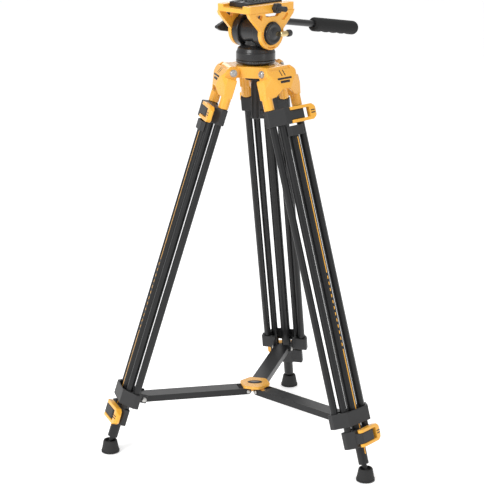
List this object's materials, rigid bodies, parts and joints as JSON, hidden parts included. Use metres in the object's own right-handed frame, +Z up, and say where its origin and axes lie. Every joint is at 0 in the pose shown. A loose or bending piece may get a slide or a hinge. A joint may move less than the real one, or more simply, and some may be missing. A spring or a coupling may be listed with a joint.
{
  "type": "video tripod with fluid head",
  "caption": "Three-legged video tripod, legs collapsed and spread on a mid-level spreader, with a fluid pan and tilt head and one pan bar.",
  "frame": {"origin": "on the floor under the pan axis, at the centre of the circle of the three feet", "axes": "+Z up along the pan axis; the rear leg points along +Y; the head's tilt axis is turned 30 degrees clockwise from +X, seen from above"},
  "size_m": [0.562, 0.5388, 0.9035],
  "materials": {
    "yellow_cast": "satin yellow paint",
    "black_plastic": "moulded",
    "black_tube": "satin black anodised",
    "yellow_lever": "moulded",
    "black_cast": "satin black paint",
    "steel": "bright",
    "rubber": "moulded",
    "foam_grip": "matte",
    "vial": "clear"
  },
  "bodies": {
    "spider": {"spider": "yellow_cast", "leg_pivot_bolts": "steel"},
    "levelling_ball": {"half_ball": "black_cast", "pan_base_ring": "black_cast"},
    "levelling_handle": {"levelling_handle": "black_plastic"},
    "pan_body": {"pan_housing": "black_cast", "tilt_drum": "black_cast"},
    "pan_lock": {"pan_lock_knob": "black_plastic"},
    "tilt_cage": {"cage_side_left": "yellow_cast", "cage_side_right": "yellow_cast", "cage_top": "yellow_cast", "tilt_cap": "black_plastic", "bubble_level": "vial"},
    "tilt_lock": {"tilt_lock_lever": "black_plastic"},
    "camera_plate": {"quick_release_plate": "black_cast"},
    "camera_screw": {"camera_screw": "steel"},
    "plate_clamp": {"plate_clamp_knob": "black_plastic"},
    "pan_bar": {"pan_bar_bracket": "black_cast", "pan_bar_tube": "black_tube", "pan_bar_grip": "foam_grip"},
    "pan_bar_clamp": {"pan_bar_clamp_lever": "black_plastic"},
    "hub": {"spreader_hub": "yellow_cast", "hub_pins": "steel"},
    "rear_leg_upper": {"rear_yoke": "yellow_cast", "rear_outer_tubes": "black_tube", "rear_lower_bracket": "black_plastic"},
    "rear_leg_middle": {"rear_top_clamp": "black_plastic", "rear_middle_tubes": "black_tube", "rear_lower_clamp": "black_plastic"},
    "rear_leg_lower": {"rear_lower_tube": "black_tube", "rear_tube_guide": "black_plastic"},
    "rear_foot": {"rear_foot": "rubber"},
    "rear_top_lever": {"rear_top_lever": "yellow_lever"},
    "rear_lower_lever": {"rear_lower_lever": "yellow_lever"},
    "rear_arm": {"rear_spreader_arm": "black_tube"},
    "left_leg_upper": {"left_yoke": "yellow_cast", "left_outer_tubes": "black_tube", "left_lower_bracket": "black_plastic"},
    "left_leg_middle": {"left_top_clamp": "black_plastic", "left_middle_tubes": "black_tube", "left_lower_clamp": "black_plastic"},
    "left_leg_lower": {"left_lower_tube": "black_tube", "left_tube_guide": "black_plastic"},
    "left_foot": {"left_foot": "rubber"},
    "left_top_lever": {"left_top_lever": "yellow_lever"},
    "left_lower_lever": {"left_lower_lever": "yellow_lever"},
    "left_arm": {"left_spreader_arm": "black_tube"},
    "right_leg_upper": {"right_yoke": "yellow_cast", "right_outer_tubes": "black_tube", "right_lower_bracket": "black_plastic"},
    "right_leg_middle": {"right_top_clamp": "black_plastic", "right_middle_tubes": "black_tube", "right_lower_clamp": "black_plastic"},
    "right_leg_lower": {"right_lower_tube": "black_tube", "right_tube_guide": "black_plastic"},
    "right_foot": {"right_foot": "rubber"},
    "right_top_lever": {"right_top_lever": "yellow_lever"},
    "right_lower_lever": {"right_lower_lever": "yellow_lever"},
    "right_arm": {"right_spreader_arm": "black_tube"}
  },
  "joints": [
    {"name": "rear_leg_fold", "type": "hinge", "parent": "spider", "child": "rear_leg_upper", "pos_m": [0, 0.054, 0.7656], "axis": [-1, 0, 0], "range_deg": [0, 6.7]},
    {"name": "rear_middle_stage", "type": "slide", "parent": "rear_leg_upper", "child": "rear_leg_middle", "axis": [0, 0.3007, -0.9537], "range_m": [0, 0.53]},
    {"name": "rear_lower_stage", "type": "slide", "parent": "rear_leg_middle", "child": "rear_leg_lower", "axis": [0, 0.3007, -0.9537], "range_m": [0, 0.53]},
    {"name": "rear_foot_swivel", "type": "hinge", "parent": "rear_leg_lower", "child": "rear_foot", "pos_m": [0, 0.30178, 0.018], "axis": [1, 0, 0], "range_deg": [-12, 8]},
    {"name": "rear_top_lever_open", "type": "hinge", "parent": "rear_leg_middle", "child": "rear_top_lever", "pos_m": [0.005, 0.10302, 0.69062], "axis": [0, 0.3007, -0.9537], "range_deg": [0, 95]},
    {"name": "rear_lower_lever_open", "type": "hinge", "parent": "rear_leg_middle", "child": "rear_lower_lever", "pos_m": [0.011, 0.3009, 0.0906], "axis": [0, 0.3007, -0.9537], "range_deg": [0, 95]},
    {"name": "left_leg_fold", "type": "hinge", "parent": "spider", "child": "left_leg_upper", "pos_m": [-0.04677, -0.027, 0.7656], "axis": [0.5, -0.866, 0], "range_deg": [0, 6.7]},
    {"name": "left_middle_stage", "type": "slide", "parent": "left_leg_upper", "child": "left_leg_middle", "axis": [-0.2604, -0.1504, -0.9537], "range_m": [0, 0.53]},
    {"name": "left_lower_stage", "type": "slide", "parent": "left_leg_middle", "child": "left_leg_lower", "axis": [-0.2604, -0.1504, -0.9537], "range_m": [0, 0.53]},
    {"name": "left_foot_swivel", "type": "hinge", "parent": "left_leg_lower", "child": "left_foot", "pos_m": [-0.26134, -0.15089, 0.018], "axis": [-0.5, 0.866, 0], "range_deg": [-12, 8]},
    {"name": "left_top_lever_open", "type": "hinge", "parent": "left_leg_middle", "child": "left_top_lever", "pos_m": [-0.09171, -0.04718, 0.69062], "axis": [-0.2604, -0.1504, -0.9537], "range_deg": [0, 95]},
    {"name": "left_lower_lever_open", "type": "hinge", "parent": "left_leg_middle", "child": "left_lower_lever", "pos_m": [-0.26609, -0.14092, 0.0906], "axis": [-0.2604, -0.1504, -0.9537], "range_deg": [0, 95]},
    {"name": "right_leg_fold", "type": "hinge", "parent": "spider", "child": "right_leg_upper", "pos_m": [0.04677, -0.027, 0.7656], "axis": [0.5, 0.866, 0], "range_deg": [0, 6.7]},
    {"name": "right_middle_stage", "type": "slide", "parent": "right_leg_upper", "child": "right_leg_middle", "axis": [0.2604, -0.1504, -0.9537], "range_m": [0, 0.53]},
    {"name": "right_lower_stage", "type": "slide", "parent": "right_leg_middle", "child": "right_leg_lower", "axis": [0.2604, -0.1504, -0.9537], "range_m": [0, 0.53]},
    {"name": "right_foot_swivel", "type": "hinge", "parent": "right_leg_lower", "child": "right_foot", "pos_m": [0.26134, -0.15089, 0.018], "axis": [-0.5, -0.866, 0], "range_deg": [-12, 8]},
    {"name": "right_top_lever_open", "type": "hinge", "parent": "right_leg_middle", "child": "right_top_lever", "pos_m": [0.08671, -0.05584, 0.69062], "axis": [0.2604, -0.1504, -0.9537], "range_deg": [0, 95]},
    {"name": "right_lower_lever_open", "type": "hinge", "parent": "right_leg_middle", "child": "right_lower_lever", "pos_m": [0.25509, -0.15998, 0.0906], "axis": [0.2604, -0.1504, -0.9537], "range_deg": [0, 95]},
    {"name": "hub_rise", "type": "slide", "parent": "spider", "child": "hub", "axis": [0, 0, 1], "range_m": [0, 0.15497]},
    {"name": "rear_arm_turn", "type": "hinge", "parent": "hub", "child": "rear_arm", "pos_m": [0, 0.018, 0.107], "axis": [-1, 0, 0], "range_deg": [0, 51.48]},
    {"name": "left_arm_turn", "type": "hinge", "parent": "hub", "child": "left_arm", "pos_m": [-0.01559, -0.009, 0.107], "axis": [0.5, -0.866, 0], "range_deg": [0, 51.48]},
    {"name": "right_arm_turn", "type": "hinge", "parent": "hub", "child": "right_arm", "pos_m": [0.01559, -0.009, 0.107], "axis": [0.5, 0.866, 0], "range_deg": [0, 51.48]},
    {"name": "levelling", "type": "hinge", "parent": "spider", "child": "levelling_ball", "pos_m": [0, 0, 0.797], "axis": [0, 1, 0], "range_deg": [-3.5, 3.5]},
    {"name": "levelling_handle_turn", "type": "hinge", "parent": "levelling_ball", "child": "levelling_handle", "pos_m": [0, 0, 0.71], "axis": [0, 0, 1], "continuous": true},
    {"name": "pan", "type": "hinge", "parent": "levelling_ball", "child": "pan_body", "pos_m": [0, 0, 0.79], "axis": [0, 0, 1], "continuous": true},
    {"name": "pan_lock_turn", "type": "hinge", "parent": "pan_body", "child": "pan_lock", "pos_m": [0, 0, 0.794], "axis": [-0.2588, 0.9659, 0], "range_deg": [-90, 90]},
    {"name": "tilt", "type": "hinge", "parent": "pan_body", "child": "tilt_cage", "pos_m": [0, 0, 0.839], "axis": [0.866, -0.5, 0], "range_deg": [-45, 75]},
    {"name": "tilt_lock_turn", "type": "hinge", "parent": "tilt_cage", "child": "tilt_lock", "pos_m": [0.04157, -0.024, 0.839], "axis": [0.866, -0.5, 0], "range_deg": [-30, 30]},
    {"name": "plate_slide", "type": "slide", "parent": "tilt_cage", "child": "camera_plate", "axis": [0.5, 0.866, 0], "range_m": [-0.017, 0.017]},
    {"name": "camera_screw_turn", "type": "hinge", "parent": "camera_plate", "child": "camera_screw", "pos_m": [0, 0, 0.894], "axis": [0, 0, 1], "continuous": true},
    {"name": "plate_clamp_turn", "type": "hinge", "parent": "tilt_cage", "child": "plate_clamp", "pos_m": [0.0473, -0.01807, 0.8865], "axis": [0.866, -0.5, 0], "range_deg": [-180, 90]},
    {"name": "pan_bar_angle", "type": "hinge", "parent": "tilt_cage", "child": "pan_bar", "pos_m": [-0.0423, 0.02673, 0.843], "axis": [0.866, -0.5, 0], "range_deg": [-5, 60]},
    {"name": "pan_bar_clamp_turn", "type": "hinge", "parent": "pan_bar", "child": "pan_bar_clamp", "pos_m": [-0.06655, 0.04073, 0.843], "axis": [0.866, -0.5, 0], "range_deg": [-40, 40]}
  ],
  "couplings": [
    {"joint": "rear_arm_turn", "follows": "rear_leg_fold", "ratio": 7.6739},
    {"joint": "left_arm_turn", "follows": "rear_leg_fold", "ratio": 7.6739},
    {"joint": "right_arm_turn", "follows": "rear_leg_fold", "ratio": 7.6739},
    {"joint": "left_leg_fold", "follows": "rear_leg_fold", "ratio": 1},
    {"joint": "right_leg_fold", "follows": "rear_leg_fold", "ratio": 1},
    {"joint": "hub_rise", "follows": "rear_leg_fold", "m_per_rad": 1.3243}
  ]
}
